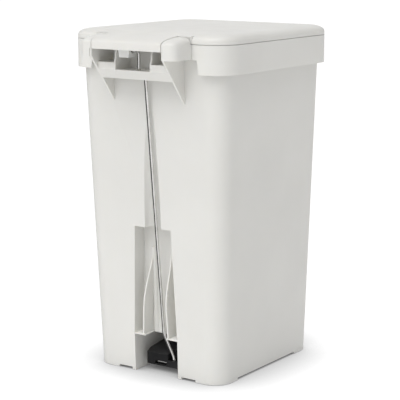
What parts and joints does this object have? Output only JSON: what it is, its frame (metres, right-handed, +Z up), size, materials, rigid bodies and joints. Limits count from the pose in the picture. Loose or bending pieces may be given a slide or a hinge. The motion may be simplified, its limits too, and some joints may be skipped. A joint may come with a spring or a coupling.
{
  "type": "pedal bin",
  "caption": "Free-standing pedal bin: tapered body with a rim collar, rear-hinged lid, push rod on the back wall, foot pedal and lift-out inner bucket.",
  "frame": {"origin": "on the floor, under the middle of the bin's overall box", "axes": "+Z up, +Y towards the hinge at the rear, -Y towards the pedal, X across the width"},
  "size_m": [0.277, 0.385, 0.5114],
  "materials": {
    "body_plastic": "fine satin mould texture, light warm grey",
    "lid_plastic": "fine satin mould texture, light warm grey",
    "white_plastic": "smooth satin white",
    "bucket_plastic": "satin mid grey",
    "black_plastic": "satin black",
    "black_rubber": "matt black rubber",
    "steel_wire": "bright drawn steel wire",
    "screw_steel": "zinc-plated steel"
  },
  "bodies": {
    "root": {"body_shell": "body_plastic", "rim_collar": "body_plastic", "hinge_cap_left": "body_plastic", "hinge_cap_right": "body_plastic", "hinge_pin_left": "steel_wire", "hinge_pin_right": "steel_wire", "cap_screws": "screw_steel", "foot_pads": "black_rubber", "pedal_axle": "screw_steel", "axle_clips": "screw_steel", "inner_bucket": "bucket_plastic", "bucket_handle": "steel_wire", "handle_grip": "black_plastic"},
    "lid": {"lid_shell": "lid_plastic", "lid_liner": "white_plastic", "liner_screws": "screw_steel", "lid_buffers": "black_rubber", "hinge_bushes": "white_plastic", "drive_lug": "white_plastic", "lug_screws": "screw_steel"},
    "rod": {"push_rod": "steel_wire", "rod_clip": "screw_steel"},
    "pedal": {"pedal_lever": "black_plastic", "pedal_tread": "black_rubber", "lever_bushes": "white_plastic"}
  },
  "joints": [
    {"name": "lid_hinge", "type": "hinge", "parent": "root", "child": "lid", "pos_m": [0, 0.18, 0.495], "axis": [-1, 0, 0], "range_deg": [0, 75]},
    {"name": "rod_slide", "type": "slide", "parent": "root", "child": "rod", "axis": [0, 0, 1], "range_m": [0, 0.0247]},
    {"name": "pedal_hinge", "type": "hinge", "parent": "root", "child": "pedal", "pos_m": [0, -0.05, 0.025], "axis": [1, 0, 0], "range_deg": [0, 9.2]}
  ],
  "couplings": [
    {"joint": "rod_slide", "follows": "lid_hinge", "m_per_rad": 0.01875},
    {"joint": "pedal_hinge", "follows": "lid_hinge", "ratio": 0.12235}
  ]
}
